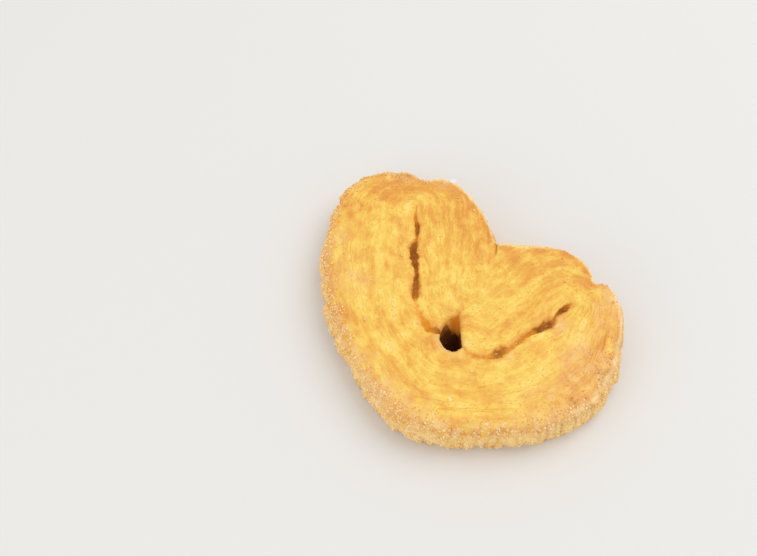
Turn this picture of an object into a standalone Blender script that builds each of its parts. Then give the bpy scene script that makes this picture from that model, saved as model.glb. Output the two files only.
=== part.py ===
# A palmier: a strip of sugared puff dough folded in from both ends, sliced and baked lying flat.
# Seen from above, the strip leaves the small hole, runs up the middle seam, turns round the tip
# of the left ear, goes down the left flank, round the base and up the right flank, turns round
# the tip of the right ear and comes back down the seam to the hole. A slit is left in each ear
# where the strip lies against itself.
#
# Metres, +Z up. The underside lies on Z = 0 and the origin is under the middle of the pastry.
# +Y points from the rounded base to the notch between the ears, and +X to the right ear.

from collections import namedtuple

import bmesh
import bpy
import numpy as np
from mathutils import Vector, noise

MM = 0.001

WIDTH = 97.0 * MM           # across both ears
THICKNESS = 12.5 * MM       # from the table to the top, before its unevenness
CROWN = 0.6 * MM            # the middle of each band stands this much higher
FLANK_VALLEY = 0.5 * MM     # shallow dip along the left flank and the base
FLANK_VALLEY_PLACE = 0.6    # where it runs, as a share of the band's width from the slit
FLANK_VALLEY_WIDTH = 0.16
SWELL = 0.35 * MM           # slow unevenness of the top
LAYER_RELIEF = 0.34 * MM    # height of the flaky layers' edges, up and down

RIM_DROP = 2.4 * MM         # the top's edge is this much lower than the top
RIM_REACH = 3.4 * MM        # width of that rounding
SIDE_BULGE = 0.7 * MM       # the side swells this far between top and foot
FOOT_INSET = 1.3 * MM       # the underside stops this far inside the edge
CRAG = 0.55 * MM            # unevenness of the rim and the side, in and out

SEAM_DROP = 0.2 * MM        # shallow valley where the two inner bands meet
SEAM_FADE = 0.2             # share of the seam, at the notch, where it falls away to the rim
SLIT_LIP = 1.1 * MM         # rounding on each side of a slit
UNDER_SLIT = 1.6 * MM       # depth of the slits on the underside
OPEN_SLIT = 0.8 * MM        # half width at which a slit is fully open on the underside too
HOLE_DROP = 1.2 * MM        # rounding of the top round the hole
HOLE_REACH = 1.8 * MM
HOLE_BOW = 0.9 * MM         # how far the hole's left side is hollowed
BOW_COLUMNS = 6             # columns over which that hollow fades out
HOLE_LEAN = 0.7 * MM        # the hole's far left wall leans in this far at its foot
LEAN_WAY = np.array([0.62, -0.78])
HOLE_LEDGE = -3.4 * MM      # the corner beyond this is filled at the hole's foot


def in_metres(points):
    return [np.array(point) * MM for point in points]


# The plan at full size, with each list of points in millimetres.
SEAM = in_metres([(3.9, -1.2), (5.0, 3.2), (5.2, 8.0), (4.6, 12.4), (3.6, 16.3), (1.8, 20.8),
                  (-0.9, 25.7)])
HOLE_BASE = in_metres([(2.7, -9.0), (4.1, -11.1), (7.3, -11.9), (10.2, -11.1), (11.1, -8.8)])
LEFT_SLIT = in_metres([(2.7, -9.0), (-0.8, -9.5), (-4.6, -8.1), (-8.2, -5.2), (-10.6, -1.2),
                       (-13.7, 2.2), (-16.8, 5.9), (-19.6, 9.9), (-21.9, 13.8), (-24.2, 16.7),
                       (-26.2, 19.4), (-27.8, 22.3)])
RIGHT_SLIT = in_metres([(11.1, -8.8), (13.8, -8.9), (16.8, -7.2), (19.1, -4.2), (20.6, -0.8),
                        (21.8, 2.8), (23.4, 6.9), (25.0, 10.9), (25.5, 14.8), (25.6, 18.6),
                        (25.9, 21.4)])
OUTLINE = in_metres([
    (-0.9, 25.7), (-7.6, 31.0), (-14.6, 34.7), (-22.2, 36.4), (-28.0, 35.0), (-31.8, 31.7),
    (-37.6, 30.8), (-44.2, 26.4), (-48.2, 19.2), (-48.6, 12.4), (-46.6, 5.2), (-43.0, -2.2),
    (-38.2, -9.4), (-31.8, -16.4), (-24.6, -22.2), (-16.8, -27.0), (-8.8, -30.9), (-1.2, -33.8),
    (6.5, -35.9), (14.0, -35.6), (21.0, -32.8), (28.0, -28.0), (34.8, -22.5), (40.6, -16.6),
    (45.5, -10.4), (48.6, -3.4), (49.4, 4.4), (48.4, 12.4), (45.9, 19.4), (42.6, 25.6),
    (38.2, 30.8), (33.2, 33.4), (29.4, 32.2), (25.2, 35.4), (19.2, 36.4), (12.2, 34.5),
    (5.4, 30.3), (-0.9, 25.7)])

# Where along OUTLINE the strip's outer edge passes each turn, counted in points.
LEFT_NOTCH, LEFT_TURN = 5.0, 8.3        # round the tip of the left ear
BASE_START, BASE_END = 16.8, 19.2       # below the hole
RIGHT_TURN, RIGHT_NOTCH = 28.9, 32.0    # round the tip of the right ear
OUTLINE_END = len(OUTLINE) - 1.0

# How open each slit is, from the hole (0) to the tip (1): place, half width and depth in mm.
LEFT_GAPE = [(0.0, 0.5, 1.8), (0.06, 0.5, 1.4), (0.14, 0.35, 1.0), (0.28, 0.35, 1.0),
             (0.35, 0.7, 2.0), (0.42, 0.75, 2.0), (0.48, 0.4, 1.2), (0.55, 0.95, 2.4),
             (0.65, 1.0, 2.6), (0.71, 0.45, 1.4), (0.81, 0.65, 1.6), (0.9, 0.4, 1.0),
             (1.0, 0.25, 0.5)]
RIGHT_GAPE = [(0.0, 0.4, 1.4), (0.12, 0.35, 1.0), (0.2, 0.5, 1.4), (0.27, 0.8, 1.8),
              (0.34, 0.45, 1.2), (0.55, 0.4, 1.2), (0.63, 0.7, 1.8), (0.71, 0.8, 2.0),
              (0.77, 0.45, 1.4), (0.81, 0.6, 1.6), (0.86, 0.5, 1.4), (0.91, 0.75, 1.8),
              (1.0, 0.25, 0.5)]

# Divisions of the folded strip. Columns run along it, and rows run across it from the slit.
SLIT_STEPS = 27             # columns along a slit
SEAM_STEPS = 16             # of those, columns beside the seam
TURN_STEPS = 8              # round an ear's tip
BASE_STEPS = 5              # below the hole
LAYERS = 13                 # flaky layers that show across a band
SLIT_ROWS = (0, 0.55, 1)                        # rows down a slit's side, in half widths
RIM_ROWS = (1.9 * MM, 0.7 * MM, 0)              # rows round the rim, from the edge
TOP_ROWS = len(SLIT_ROWS) + 2 * LAYERS + len(RIM_ROWS)      # faces across the top
FULL_WIDTH = 14 * MM                            # narrower bands squeeze those rows together
UNDER_SHARES = (0, 0.06, 0.3, 0.6, 0.88, 1)     # rows of the underside across a band
UNDER_ROWS = len(UNDER_SHARES) - 1
SIDE_SHARES = (0, 0.2, 0.45, 0.7, 0.9, 1)       # rings down the side, from the rim to the foot
SIDE_RINGS = len(SIDE_SHARES) - 1
HOLE_RINGS = 3

CRUST_COLOUR = (0.83, 0.52, 0.17, 1.0)
CRUST_ROUGHNESS = 0.62

# One column across the strip: its points at the slit and at the outer edge, how wide and deep
# the slit is, how much of the outer edge is seam rather than rim, and how far it is bowed.
Column = namedtuple("Column", "inner outer half depth seam bow")


def spline(points, place):
    """The point at a place, counted in points, on a smooth curve through the points."""
    last = len(points) - 1
    start = int(min(max(np.floor(place), 0), last - 1))
    part = place - start
    before, here, after, beyond = (points[min(max(start + step, 0), last)] for step in (-1, 0, 1, 2))
    bend = 2 * before - 5 * here + 4 * after - beyond
    twist = 3 * (here - after) + beyond - before
    return here + 0.5 * part * (after - before + part * (bend + part * twist))


def evenly(points, steps):
    """Places, counted in points, that divide the curve into equal lengths."""
    places = np.linspace(0, len(points) - 1, 400)
    route = np.array([spline(points, place) for place in places])
    length = np.append(0, np.cumsum(np.linalg.norm(np.diff(route, axis=0), axis=1)))
    return np.interp(np.linspace(0, length[-1], steps + 1), length, places)


def smooth(value):
    value = min(max(value, 0.0), 1.0)
    return value * value * (3 - 2 * value)


def rounding(distance, reach):
    """1 at an edge, falling to 0 at the given reach from it, as a quarter circle does."""
    inside = min(max(1 - distance / reach, 0.0), 1.0)
    return 1 - np.sqrt(1 - inside * inside)


def uneven(point, lump, level=0.0):
    """Smooth unevenness between about -1 and 1, with lumps of the given size in mm."""
    return noise.noise(Vector((point[0] / lump / MM, point[1] / lump / MM, 7.3 + level)))


def turn(pivot, first, last):
    """The columns inside a turn of the strip: a fan from the slit's tip to the outline."""
    places = np.linspace(first, last, TURN_STEPS + 1)[1:-1]
    return [Column(pivot.inner, spline(OUTLINE, place), pivot.half, pivot.depth, 0, 0)
            for place in places]


def ear(slit, gape, outline_start, notch, bow):
    """The columns of an inner band, from the hole to the ear's tip."""
    places, halves, depths = zip(*gape)
    slit_places = evenly(slit, SLIT_STEPS)
    seam_places = evenly(SEAM, SEAM_STEPS)
    columns = []
    for step, place in enumerate(slit_places):
        along = step / SLIT_STEPS
        if step <= SEAM_STEPS:
            outer = spline(SEAM, seam_places[step])
            seam = smooth((1 - step / SEAM_STEPS) / SEAM_FADE)
        else:
            lobe = (step - SEAM_STEPS) / (SLIT_STEPS - SEAM_STEPS)
            outer = spline(OUTLINE, outline_start + lobe * (notch - outline_start))
            seam = 0
        half, depth = np.interp(along, places, halves) * MM, np.interp(along, places, depths) * MM
        columns.append(Column(spline(slit, place), outer, half, depth, seam,
                              bow * max(1 - step / BOW_COLUMNS, 0)))
    return columns


def flank(inner_band, first, last):
    """The columns of an outer band, on the other side of the slit from its inner band."""
    places = np.linspace(first, last, len(inner_band))
    return [column._replace(outer=spline(OUTLINE, place), seam=0, bow=0)
            for column, place in zip(inner_band, places)]


def fold():
    """The strip's columns in order, from the hole round both ears and back to the hole."""
    left = ear(LEFT_SLIT, LEFT_GAPE, 0, LEFT_NOTCH, HOLE_BOW)
    right = ear(RIGHT_SLIT, RIGHT_GAPE, OUTLINE_END, RIGHT_NOTCH, 0)
    hole_places = evenly(HOLE_BASE, BASE_STEPS)[1:-1]
    base_places = np.linspace(BASE_START, BASE_END, BASE_STEPS + 1)[1:-1]
    base = [Column(spline(HOLE_BASE, hole), spline(OUTLINE, place), SLIT_LIP, 0, 0, 0)
            for hole, place in zip(hole_places, base_places)]
    return (left + turn(left[-1], LEFT_NOTCH, LEFT_TURN)
            + flank(left[::-1], LEFT_TURN, BASE_START) + base
            + flank(right, BASE_END, RIGHT_TURN)
            + turn(right[-1], RIGHT_TURN, RIGHT_NOTCH) + right[::-1])


COLUMNS = fold()
LAST = len(COLUMNS) - 1
FLANK_FIRST = SLIT_STEPS + TURN_STEPS
BASE_FIRST = FLANK_FIRST + SLIT_STEPS
NOTCHES = (SEAM_STEPS, LAST - SEAM_STEPS)


def unit(way):
    return way / np.linalg.norm(way)


def inward(number):
    """Unit vector from the strip's outer edge to its inner edge; down the seam at the notch."""
    if number in NOTCHES:
        return unit(SEAM[-2] - SEAM[-1])
    return unit(COLUMNS[number].inner - COLUMNS[number].outer)


def on_rim(number):
    return NOTCHES[0] <= number <= NOTCHES[1]


def on_hole(number, row):
    return number in (0, LAST) or (row == 0 and BASE_FIRST <= number <= BASE_FIRST + BASE_STEPS)


def on_left_flank(number):
    """1 along the left flank and the left half of the base, fading out at both ends."""
    along = (number - FLANK_FIRST) / SLIT_STEPS
    return smooth(along / 0.2) * smooth((1.25 - along) / 0.25)


def crag(number, level):
    """How far the side stands out at one column and level."""
    outer = COLUMNS[number].outer
    return CRAG * (1.5 * uneven(outer, 1.7, level) + 0.8 * uneven(outer, 6.0, level / 3))


def rows_across(column):
    """Distances of a column's rows from the slit."""
    width = np.linalg.norm(column.outer - column.inner)
    squeeze = min(1.0, width / FULL_WIDTH)
    slit = column.half * np.array(SLIT_ROWS) * squeeze
    rim = width - np.array(RIM_ROWS) * squeeze
    layers = np.linspace((column.half + SLIT_LIP) * squeeze, width - RIM_REACH * squeeze,
                         2 * LAYERS + 1)
    return np.concatenate([slit, layers, rim])


def in_plan(column, share):
    """The point at a share of the way across a column, from the slit to the outer edge."""
    bow = np.array([column.bow * 4 * share * (1 - share), 0])
    return column.inner + (column.outer - column.inner) * share - bow


def hole_edge():
    """The points round the hole's edge in plan."""
    sides = []
    for column in (COLUMNS[0], COLUMNS[LAST]):
        rows = rows_across(column)
        sides.append([in_plan(column, row / rows[-1]) for row in rows])
    base = [spline(HOLE_BASE, place) for place in evenly(HOLE_BASE, 12)]
    return np.array(sides[0] + sides[1][::-1] + base[::-1])


HOLE_EDGE = hole_edge()


def top_point(number, row):
    """A point of the top, with its crown, rounded edges, slit and layers."""
    column = COLUMNS[number]
    rows = rows_across(column)
    distance, width = rows[row], rows[-1]
    share = distance / width
    place = in_plan(column, share)
    from_hole = np.linalg.norm(HOLE_EDGE - place, axis=1).min()
    height = THICKNESS + CROWN * np.sin(np.pi * share)
    height -= (FLANK_VALLEY * on_left_flank(number)
               * smooth(1 - abs(share - FLANK_VALLEY_PLACE) / FLANK_VALLEY_WIDTH))
    edge_drop = column.seam * SEAM_DROP + (1 - column.seam) * RIM_DROP
    height -= edge_drop * rounding(width - distance, RIM_REACH)
    height -= column.depth * (1 - smooth(distance / (column.half + SLIT_LIP)))
    height -= HOLE_DROP * rounding(from_hole, HOLE_REACH)
    height += SWELL * (uneven(place, 9.0) + 0.6 * uneven(place, 3.1))
    layer = row - len(SLIT_ROWS)
    if 0 < layer < 2 * LAYERS:
        strength = 0.75 + 0.6 * uneven(place, 7.0, 3.0)
        height += LAYER_RELIEF * (1 if layer % 2 else -1) * strength
    if row == TOP_ROWS and on_rim(number):
        place = place - inward(number) * crag(number, height / MM)
    return Vector((*place, height))


def hole_foot(place):
    """Where the hole's wall meets the table below a point of the hole's edge, in plan."""
    across = HOLE_EDGE @ LEAN_WAY
    share = (place @ LEAN_WAY - across.max()) / (across.min() - across.max())
    foot = place + LEAN_WAY * HOLE_LEAN * smooth(share)
    return np.array([foot[0], min(foot[1], HOLE_LEDGE)])


def under_point(number, row):
    """A point of the underside: flat on the table, but for the slits."""
    column = COLUMNS[number]
    place = in_plan(column, UNDER_SHARES[row])
    height = 0.0
    if row == UNDER_ROWS and on_rim(number):
        place = place + inward(number) * (FOOT_INSET - 0.6 * crag(number, 0))
    elif on_hole(number, row):
        place = hole_foot(place)
    elif row == 0:
        height = UNDER_SLIT * smooth(column.half / OPEN_SLIT)
    return Vector((*place, height))


def side_point(number, ring):
    """A point of the outer side, between the rim and the foot."""
    top, foot = top_point(number, TOP_ROWS), under_point(number, UNDER_ROWS)
    if ring == 0:
        return top
    if ring == SIDE_RINGS:
        return foot
    share = SIDE_SHARES[ring]
    upright = FOOT_INSET * (share - 1 + np.sqrt(1 - share ** 3))    # keeps the foot's corner full
    out = SIDE_BULGE * np.sin(np.pi * share) + upright + 0.8 * crag(number, 3 * ring)
    return top.lerp(foot, share) - Vector((*(inward(number) * out), 0))


def hole_point(number, row, ring):
    """A point of the hole's wall, below a point of its top edge."""
    if ring == HOLE_RINGS:
        return under_point(number, round(row / TOP_ROWS * UNDER_ROWS))
    top = top_point(number, row)
    return top.lerp(Vector((*hole_foot(np.array(top.xy)), 0)), ring / HOLE_RINGS)


def patch(shape, columns, rows, place):
    """Adds a grid of faces, with each corner where place(column, row) says."""
    grid = bmesh.ops.create_grid(shape, x_segments=columns, y_segments=rows, size=1)
    for corner in grid["verts"]:
        column = round((corner.co.x + 1) / 2 * columns)
        row = round((corner.co.y + 1) / 2 * rows)
        corner.co = place(column, row)


def centre(shape):
    """Brings the pastry to its width, with the origin under the middle of it."""
    xs = [corner.co.x for corner in shape.verts]
    ys = [corner.co.y for corner in shape.verts]
    middle = Vector((max(xs) + min(xs), max(ys) + min(ys), 0)) / 2
    size = WIDTH / (max(xs) - min(xs))
    bmesh.ops.translate(shape, verts=shape.verts, vec=-middle)
    bmesh.ops.scale(shape, verts=shape.verts, vec=(size, size, 1))


def crust_material():
    material = bpy.data.materials.new("baked_crust")
    material.use_nodes = True
    surface = material.node_tree.nodes["Principled BSDF"]
    surface.inputs["Base Color"].default_value = CRUST_COLOUR
    surface.inputs["Roughness"].default_value = CRUST_ROUGHNESS
    surface.inputs["Metallic"].default_value = 0.0
    return material


def palmier():
    shape = bmesh.new()
    patch(shape, LAST, TOP_ROWS, top_point)
    patch(shape, LAST, UNDER_ROWS, under_point)
    patch(shape, LAST - 2 * SEAM_STEPS, SIDE_RINGS,
          lambda column, ring: side_point(column + SEAM_STEPS, ring))
    for end in (0, LAST):
        patch(shape, TOP_ROWS, HOLE_RINGS, lambda row, ring, end=end: hole_point(end, row, ring))
    patch(shape, BASE_STEPS, HOLE_RINGS,
          lambda column, ring: hole_point(BASE_FIRST + column, 0, ring))
    bmesh.ops.remove_doubles(shape, verts=shape.verts, dist=1e-6)
    bmesh.ops.recalc_face_normals(shape, faces=shape.faces)
    centre(shape)

    mesh = bpy.data.meshes.new("palmier")
    shape.to_mesh(mesh)
    shape.free()
    mesh.shade_smooth()
    mesh.set_sharp_from_angle(angle=np.radians(55))
    mesh.materials.append(crust_material())
    pastry = bpy.data.objects.new("palmier", mesh)
    bpy.context.collection.objects.link(pastry)


for old in list(bpy.data.objects):
    bpy.data.objects.remove(old)
palmier()
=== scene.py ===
# A palmier: folded puff dough with a sugared crust. Lengths are in millimetres, and mm makes them metres.
import math

import bmesh
import bpy
import numpy as np
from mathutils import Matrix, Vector, kdtree, noise


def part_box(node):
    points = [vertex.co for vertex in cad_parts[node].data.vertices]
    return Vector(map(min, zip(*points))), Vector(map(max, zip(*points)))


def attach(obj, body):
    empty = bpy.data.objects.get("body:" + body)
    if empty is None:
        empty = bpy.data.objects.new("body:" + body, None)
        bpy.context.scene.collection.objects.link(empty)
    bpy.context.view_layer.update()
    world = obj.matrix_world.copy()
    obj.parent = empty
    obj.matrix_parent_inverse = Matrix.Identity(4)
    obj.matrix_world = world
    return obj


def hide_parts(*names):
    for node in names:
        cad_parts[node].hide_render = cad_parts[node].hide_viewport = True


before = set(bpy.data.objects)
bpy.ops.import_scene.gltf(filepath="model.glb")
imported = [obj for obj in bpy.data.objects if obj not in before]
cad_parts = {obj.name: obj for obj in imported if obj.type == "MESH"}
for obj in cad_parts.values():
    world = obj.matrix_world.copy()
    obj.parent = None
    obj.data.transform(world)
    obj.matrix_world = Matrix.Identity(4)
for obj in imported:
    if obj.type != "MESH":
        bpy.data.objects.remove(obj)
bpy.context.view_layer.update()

mm = 0.001
print("frame loaded")

plan = {  # the pastry from above, +Y towards the notch between the ears
    "seam": [(4.5, -1.2), (5.2, 3.2), (5.2, 8), (4.6, 12.4), (3.6, 16.3), (1.8, 20.8), (-0.9, 25.7)],
    "holeBase": [(3.6, -8.9), (5, -11), (7.8, -12.2), (10.4, -11.4), (11.3, -9)],
    "leftSlit": [(3.6, -8.9), (1.4, -9.9), (-1.2, -9.6), (-4.4, -7.9), (-7.7, -5.4), (-10.2, -1.9),
                 (-12.5, 1.6), (-15.8, 5), (-18.9, 8.5), (-20.5, 12.2), (-22.4, 15.3), (-25.1, 17.8),
                 (-27.4, 21.2)],
    "rightSlit": [(11.3, -9), (14.2, -9.9), (17.4, -8.7), (19.9, -5.8), (21.9, -2), (22.8, 1.2),
                  (23.7, 5.2), (25.2, 9), (26.5, 12.3), (26.3, 15.6), (26.8, 18.8), (27.6, 21)],
    "outline": [(-0.9, 25.7), (-7.6, 31), (-14.6, 34.7), (-22.2, 36.4), (-28, 35), (-31.8, 31.7),
                (-37.6, 30.8), (-44.2, 26.4), (-48.2, 19.2), (-48.6, 12.4), (-46.6, 5.2), (-43, -2.2),
                (-38.2, -9.4), (-31.8, -16.4), (-24.6, -22.2), (-16.8, -27), (-8.8, -30.9), (-1.2, -33.8),
                (6.5, -35.9), (14, -35.6), (21, -32.8), (28, -28), (34.8, -22.5), (40.6, -16.6),
                (45.5, -10.4), (48.6, -3.4), (49.4, 4.4), (48.4, 12.4), (45.9, 19.4), (42.6, 25.6),
                (38.2, 30.8), (33.2, 33.4), (29.4, 32.2), (25.2, 35.4), (19.2, 36.4), (12.2, 34.5),
                (5.4, 30.3), (-0.9, 25.7)],
    "leftNotch": 5, "leftTurn": 8.3,  # places along the outline, counted in its points:
    "baseStart": 16.8, "baseEnd": 19.2,  # the ears' tips, and the stretch below the hole
    "rightTurn": 28.9, "rightNotch": 32,
    "seamShare": 16 / 27,  # how far the seam reaches along a slit
}
gapes = {  # each slit from the hole (0) to the tip (1): place, half width, darkness
    "leftSlit": [(0, 1.2, 0.9), (0.03, 1.3, 0.88), (0.07, 1.2, 0.8), (0.12, 1.1, 0.55), (0.17, 0.9, 0.4),
                 (0.23, 0.7, 0.35), (0.28, 0.5, 0.25), (0.31, 0.8, 0.7), (0.345, 1, 0.8), (0.38, 1.2, 0.85),
                 (0.415, 0.9, 0.8), (0.45, 0.7, 0.9), (0.49, 0.5, 0.8), (0.53, 0.8, 0.9), (0.565, 1.2, 1),
                 (0.6, 1.4, 1), (0.64, 1.2, 1), (0.67, 1.1, 1), (0.71, 0.9, 0.9), (0.745, 0.5, 0.55),
                 (0.79, 0.75, 0.85), (0.835, 0.7, 0.8), (0.87, 0.6, 0.7), (0.91, 0.5, 0.5),
                 (0.95, 0.4, 0.3), (1, 0.3, 0.05)],
    "rightSlit": [(0, 0.4, 0.2), (0.15, 0.6, 0.4), (0.21, 0.7, 0.4), (0.25, 1.1, 0.6), (0.28, 1.5, 0.8),
                  (0.31, 1.6, 0.8), (0.35, 1.3, 0.74), (0.39, 0.8, 0.62), (0.435, 0.5, 0.56),
                  (0.5, 0.6, 0.5), (0.565, 0.5, 0.6), (0.62, 0.7, 0.65), (0.655, 1, 0.85),
                  (0.705, 1.25, 0.95),
                  (0.75, 1.5, 1), (0.79, 0.8, 0.75), (0.83, 0.8, 0.75), (0.89, 1, 0.85),
                  (0.93, 1.2, 0.88), (0.97, 1, 0.78), (1, 0.4, 0.35)],
}
dough = {  # form of the folded strip
    "thickness": 12.5, "fullWidth": 14.0, "crown": 0.6, "swell": 0.35, "valley": 0.5,
    "valleyPlace": 0.6, "valleyWidth": 0.16, "valleyRise": (0, 0.2), "valleyFall": (1.25, -0.25),
    "rimDrop": 2.9, "rimReach": 4.6, "rimPull": 1.6, "rimCrowding": 0.8,
    "bareDrop": 1.5, "bareReach": 1.3, "bareLip": 0.35, "lipPlace": 1.3, "lipWidth": 1.2,
    "barePull": 0.4, "bareFrom": (0.8, 0.2), "bareCrag": 0.6,
    "sideBulge": 0.7, "crag": 0.62, "wallCrag": 1.1, "bareWallCrag": 0.5,
    "footInset": 1.3, "footCrag": 0.6, "insetCrowding": 4, "notchColumns": 10,
    "dent": 0.35, "dentsFromSlit": 0.8, "dentsFromRim": 2.5,
    "seamDrop": 0.15, "seamFade": 0.2, "slitLip": 1.5, "slitDepth": 0.9, "slitCore": 0.4,
    "slitSoft": (0.9, 0.35), "underSlit": 1.6, "underReach": 1.2, "openSlit": 1.0,
    "holeDrop": 1.2, "holeReach": 1.8, "holeBow": 0.9, "bowShare": 6 / 27,
    "holeLean": 5.2, "leanWay": (0.62, -0.78), "holeLedge": -4.0, "ledgeDepth": 0.36, "ledgeCurve": 0.8,
}
paleRimsAndHighlight = [  # how pale the rim's edge is, by place along the outline: partly the dough's own paler edge, partly painted highlight where the back light catches the far rims
    (4.8, 1), (6.5, 0.5), (9, 0), (23, 0), (25, 0.4), (28, 0.7), (31, 1),
]
sugared = [  # how sugared the side is, by place along the outline
    (0, 0), (4.6, 0.05), (5.4, 0.6), (7, 1), (26, 1), (27.5, 0.6), (29, 0.2), (31.5, 0.1), (32.5, 0),
]
layers = {  # the flaky layers
    "bandLayers": 17.0,  # layer places across an outer band
    "ridges": [(0.17, (5.5, 0.95), 20.0), (0.09, (2.4, 0.5), 30.0)],  # height, size along and across, seed
    "ridgeLevel": 0.35, "strength": 0.8,
    "loose": 2.2,  # near a seam or slit the layers crumble into plain grain
}
divisions = {"slit": 150, "turn": 44, "base": 28, "slitRows": 9, "bandRows": 78, "rimRows": 9,
             "underRows": 20, "wallRings": 26, "holeRings": 12}
unevenness = {  # sums of lumps, each with its amount, size and seed
    "top": [(1, 9, 0), (0.6, 3.1, 0)],
    "side": [(1.7, (1.8, 1.8, 5), 0), (0.9, 6, 2), (0.5, (0.9, 0.9, 1.3), 4)],
    "wander": [(0.8, (14, 6), 1)], "coarse": [(0.4, (20, 1.9), 10)], "layers": [(0.6, 7, 3)],
    "crumble": [(0.208, 1.1, 35)], "grain": [(0.07, 0.62, 40), (0.1, 1.6, 41)],
    "slitEdge": [(0.5, 1.4, 42), (0.4, 0.7, 43)], "slitFloor": [(0.5, 1, 44)],
    "dents": [(1, 2.2, 5), (0.6, 0.9, 6)], "teeth": [(1, 2.1, 7)],
    "ledge": [(0.3, 1.3, 9)], "holeWall": [(0.25, (1.5, 1.5, 0.9), 8)],
    "toast": [(1, 9, 52)], "rimToast": [(0.7, 5, 50)], "wallToast": [(1, (1.5, 1.5, 6), 60)],
    "paleWidth": [(0.8, 6, 54), (0.3, 1.2, 55)], "tips": [(0.9, (1.3, 1.3, 3), 61)],
    "clumps": [(1, (1.6, 1.6, 3), 62)],
}


def smooth(value):
    value = np.clip(value, 0.0, 1.0)
    return value * value * (3 - 2 * value)


def ramp(value, start, length):  # rises from 0 at the start to 1; a length below 0 makes it fall
    return smooth((value - start) / length)


def between(first, last, share):
    return first + (last - first) * share


def near(distance, reach):  # 1 at no distance, 0 from the reach on
    return smooth(1 - distance / reach)


def spread(name):  # even shares from 0 to 1, one more than the divisions
    return np.linspace(0, 1, divisions[name] + 1)


def rounding(distance, reach):  # 1 at an edge, falling to 0 at the reach as a quarter circle does
    inside = np.clip(1 - distance / reach, 0.0, 1.0)
    return 1 - np.sqrt(1 - inside * inside)


def lumps(places, size, seed=0.0):  # smooth unevenness between about -1 and 1, for places of any shape
    scaled = np.asarray(places, float) / size
    flat = scaled.reshape(-1, scaled.shape[-1])
    if flat.shape[1] == 2:
        flat = np.column_stack([flat, np.zeros(len(flat))])
    flat = flat + np.array([0.0, 0.0, 7.3 + seed])
    return np.array([noise.noise(place) for place in flat.tolist()]).reshape(scaled.shape[:-1])


def uneven(name, places):
    return sum(amount * lumps(places, size, seed) for amount, size, seed in unevenness[name])


def ridged(places, size, seed):  # thin crests between wider grooves
    return 1 - 3.0 * np.abs(lumps(places, size, seed))


def lengths(vectors):
    return np.linalg.norm(vectors, axis=-1)


def lengthAlong(line):  # from the line's start to each of its points
    return np.append(0, np.cumsum(lengths(np.diff(line, axis=0))))


def gridOf(along, across):  # (along, across) of each place
    return np.stack(np.broadcast_arrays(along[:, None], across), axis=-1)


def curve(points, places):  # a smooth line through the points, read at places counted in points
    points = np.asarray(points, float)
    last = len(points) - 1
    start = np.clip(np.floor(places), 0, last - 1).astype(int)
    part = (np.asarray(places) - start)[:, None]
    before, here, after, beyond = (points[np.clip(start + step, 0, last)] for step in (-1, 0, 1, 2))
    bend = 2 * before - 5 * here + 4 * after - beyond
    twist = 3 * (here - after) + beyond - before
    return here + 0.5 * part * (after - before + part * (bend + part * twist))


def evenly(points, shares, steps=2000):  # places at even shares of the line's length
    places = np.linspace(0, len(points) - 1, steps)
    length = lengthAlong(curve(points, places))
    return np.interp(np.asarray(shares) * length[-1], length, places)


def evenCurve(points, shares):
    return curve(points, evenly(points, shares))


def tracedLine(points, spacing=0.2, steps=400):
    total = lengthAlong(curve(points, np.linspace(0, len(points) - 1, steps)))[-1]
    return evenCurve(points, np.linspace(0, 1, int(total / spacing) + 1))


def nearestOn(line, places):  # the line's nearest point to each place: its number and its distance
    tree = kdtree.KDTree(len(line))
    for index, (x, y) in enumerate(line):
        tree.insert((x, y, 0), index)
    tree.balance()
    found = np.array([tree.find((x, y, 0))[1:] for x, y in places.reshape(-1, 2).tolist()])
    return found.T.reshape(2, *places.shape[:-1])


def distanceTo(line, places):
    return nearestOn(line, places)[1]


# The strip's columns: each runs from a point at the slit to a point at the outer edge.
def makeBand(inner, outer, **values):  # a value is one number, or one for each column
    band = {"inner": inner, "outer": outer}
    for name in ("half", "dark", "seam", "bow", "outerBand"):
        band[name] = np.zeros(len(inner)) + values.get(name, 0.0)
    return band


def makeEar(slitName, outlineStart, notch, bow):  # from the hole to the ear's tip
    along = spread("slit")
    place, half, dark = np.array(gapes[slitName]).T
    onSeam = np.minimum(along / plan["seamShare"], 1)
    lobe = np.clip((along - plan["seamShare"]) / (1 - plan["seamShare"]), 0, 1)
    seamSide = evenCurve(plan["seam"], onSeam)
    lobeSide = curve(plan["outline"], between(outlineStart, notch, lobe))
    past = lobe > 1e-9
    return makeBand(
        evenCurve(plan[slitName], along), np.where(past[:, None], lobeSide, seamSide),
        half=np.interp(along, place, half), dark=np.interp(along, place, dark),
        seam=np.where(past, 0, smooth((1 - onSeam) / dough["seamFade"])),
        bow=bow * np.maximum(1 - along / dough["bowShare"], 0))


def makeFlank(innerBand, first, last):  # on the other side of the slit from its inner band
    outer = curve(plan["outline"], np.linspace(first, last, len(innerBand["inner"])))
    none = 0 * innerBand["bow"]
    return {**innerBand, "outer": outer, "seam": none, "bow": none, "outerBand": none + 1}


def makeTurn(pivot, first, last, leaving):  # a fan round the slit's tip
    places = np.linspace(first, last, divisions["turn"] + 1)[1:-1]
    share = ramp(places, first, last - first)
    return makeBand(np.tile(pivot["inner"][-1], (len(places), 1)), curve(plan["outline"], places),
                    half=pivot["half"][-1], dark=pivot["dark"][-1],
                    outerBand=1 - share if leaving else share)


def backwards(band):
    return {name: values[::-1] for name, values in band.items()}


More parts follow.
